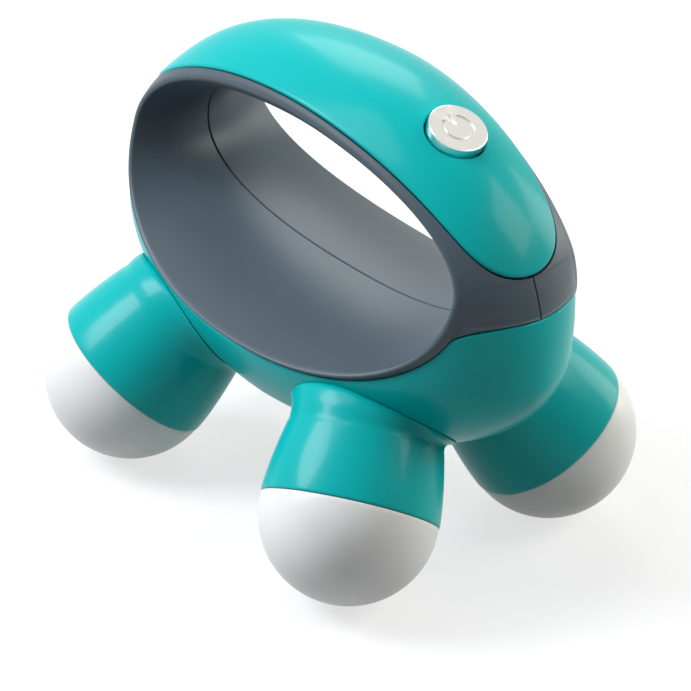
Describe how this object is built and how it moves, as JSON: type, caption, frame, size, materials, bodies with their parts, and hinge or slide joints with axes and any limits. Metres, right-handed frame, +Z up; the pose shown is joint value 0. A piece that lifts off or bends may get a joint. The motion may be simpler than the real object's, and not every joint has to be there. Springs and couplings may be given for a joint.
{
  "type": "handheld massager",
  "caption": "Palm-held vibrating massager: a loop-shaped grip the fingers pass through, over a bowl-shaped housing on splayed legs that end in smooth domes.",
  "frame": {"origin": "on the plane the four dome tips stand on, under the middle of the body", "axes": "+X along the loop's length towards the power button's side, +Y along the way the hand goes through, +Z up"},
  "size_m": [0.1166, 0.0896, 0.0977],
  "materials": {
    "teal_gloss": "glossy moulded plastic",
    "grey_satin": "satin moulded plastic",
    "white_satin": "satin moulded plastic",
    "chrome": "polished plating",
    "black_plastic": "plain moulded plastic",
    "board_green": "lacquered board",
    "cell_jacket": "plain metal jacket",
    "brass": "plain stamped",
    "wire_red": "plain insulation",
    "steel": "plain zinc"
  },
  "bodies": {
    "body": {"top_cover": "teal_gloss", "grip_liner_front": "grey_satin", "grip_liner_back": "grey_satin", "base_shell": "teal_gloss", "leg_front_left": "teal_gloss", "leg_front_right": "teal_gloss", "leg_back_left": "teal_gloss", "leg_back_right": "teal_gloss", "tip_front_left": "white_satin", "tip_front_right": "white_satin", "tip_back_left": "white_satin", "tip_back_right": "white_satin", "switch_body": "black_plastic", "switch_board": "board_green", "battery_tray": "black_plastic", "battery_left": "cell_jacket", "battery_right": "cell_jacket", "contact_springs": "steel", "contact_plates": "brass", "motor_can": "steel", "motor_cradle": "black_plastic", "motor_strap": "steel", "wires": "wire_red", "housing_screws": "steel", "leg_screws": "steel", "board_screws": "steel", "strap_screws": "steel"},
    "button": {"power_button": "chrome", "switch_plunger": "black_plastic"},
    "rotor": {"motor_shaft": "steel", "eccentric_weight": "steel"},
    "door": {"battery_door": "teal_gloss"}
  },
  "joints": [
    {"name": "button_press", "type": "slide", "parent": "body", "child": "button", "axis": [-0.3922, 0, -0.9199], "range_m": [0, 0.001], "stiffness_N_per_m": 1500},
    {"name": "motor_spin", "type": "hinge", "parent": "body", "child": "rotor", "pos_m": [-0.03, 0, 0.042], "axis": [1, 0, 0], "continuous": true},
    {"name": "door_swing", "type": "hinge", "parent": "body", "child": "door", "pos_m": [0, 0.0196, 0.0304], "axis": [1, 0, 0], "range_deg": [0, 55]}
  ]
}
